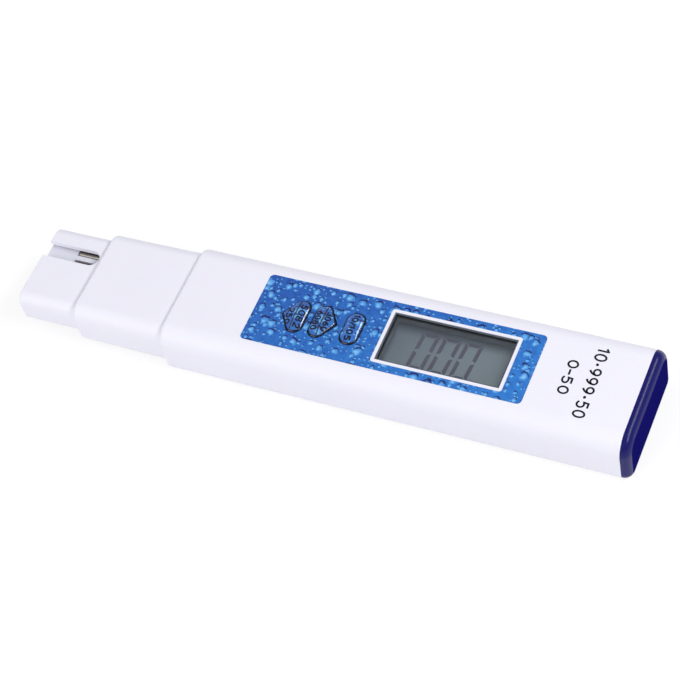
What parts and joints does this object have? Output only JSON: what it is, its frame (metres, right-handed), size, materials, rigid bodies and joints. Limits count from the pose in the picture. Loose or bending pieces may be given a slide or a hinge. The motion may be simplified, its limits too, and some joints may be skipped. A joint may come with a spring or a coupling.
{
  "type": "water quality tester",
  "caption": "Pen-type water quality tester: one-piece sleeve with a printed label, raised keys and a liquid crystal display, a slotted sensor guard and a pull-off battery cap.",
  "frame": {"origin": "under the middle of the pen, on the surface that it lies on", "axes": "+X along the pen towards the battery cap, +Z out of the display face, +Y across the pen"},
  "size_m": [0.1692, 0.032, 0.0161],
  "materials": {
    "body_white": "satin moulded",
    "cap_blue": "glossy moulded",
    "label_print": "printed film",
    "key_print": "printed, glossy",
    "clear_window": "polished",
    "display_cell": "polarised",
    "frame_dark": "matte",
    "seal_rubber": "moulded",
    "strip_rubber": "layered",
    "carrier_plastic": "moulded",
    "potting_resin": "cast",
    "pin_metal": "drawn",
    "probe_steel": "drawn",
    "stem_glass": "blown",
    "wire_silver": "drawn",
    "lead_cover": "extruded",
    "tray_plastic": "moulded",
    "board_green": "lacquered",
    "chip_black": "moulded",
    "component_ceramic": "fired",
    "switch_black": "moulded",
    "plunger_plastic": "moulded",
    "small_steel": "plated",
    "cell_steel": "plated"
  },
  "bodies": {
    "root": {"housing": "body_white", "probe_collar": "body_white", "probe_guard": "body_white", "collar_gasket": "seal_rubber", "probe_carrier": "carrier_plastic", "pin_cradle": "carrier_plastic", "probe_potting": "potting_resin", "electrode_pins": "pin_metal", "thermometer": "probe_steel", "glass_electrode": "stem_glass", "inner_wire": "wire_silver", "sensor_leads": "lead_cover", "label_film": "label_print", "display_gasket": "frame_dark", "display_window": "clear_window", "display_glass": "display_cell", "display_holder": "frame_dark", "zebra_strips": "strip_rubber", "inner_tray": "tray_plastic", "circuit_board": "board_green", "board_screws": "small_steel", "controller_chip": "chip_black", "crystal_can": "small_steel", "small_components": "component_ceramic", "switch_bodies": "switch_black", "cell_bay": "tray_plastic", "button_cells": "cell_steel", "bridge_contact": "small_steel", "spring_contacts": "small_steel"},
    "cap": {"battery_cap": "cap_blue", "cap_seal": "seal_rubber"},
    "mode_key": {"key_mode_cal": "key_print", "plunger_mode_cal": "plunger_plastic"},
    "hold_key": {"key_hold_temp": "key_print", "plunger_hold_temp": "plunger_plastic"},
    "power_key": {"key_on_off": "key_print", "plunger_on_off": "plunger_plastic"}
  },
  "joints": [
    {"name": "cap_pull", "type": "slide", "parent": "root", "child": "cap", "axis": [1, 0, 0], "range_m": [0, 0.012]},
    {"name": "mode_press", "type": "slide", "parent": "root", "child": "mode_key", "axis": [0, 0, -1], "range_m": [0, 0.0003], "stiffness_N_per_m": 3000, "springref_m": -0.0001},
    {"name": "hold_press", "type": "slide", "parent": "root", "child": "hold_key", "axis": [0, 0, -1], "range_m": [0, 0.0003], "stiffness_N_per_m": 3000, "springref_m": -0.0001},
    {"name": "power_press", "type": "slide", "parent": "root", "child": "power_key", "axis": [0, 0, -1], "range_m": [0, 0.0003], "stiffness_N_per_m": 3000, "springref_m": -0.0001}
  ]
}
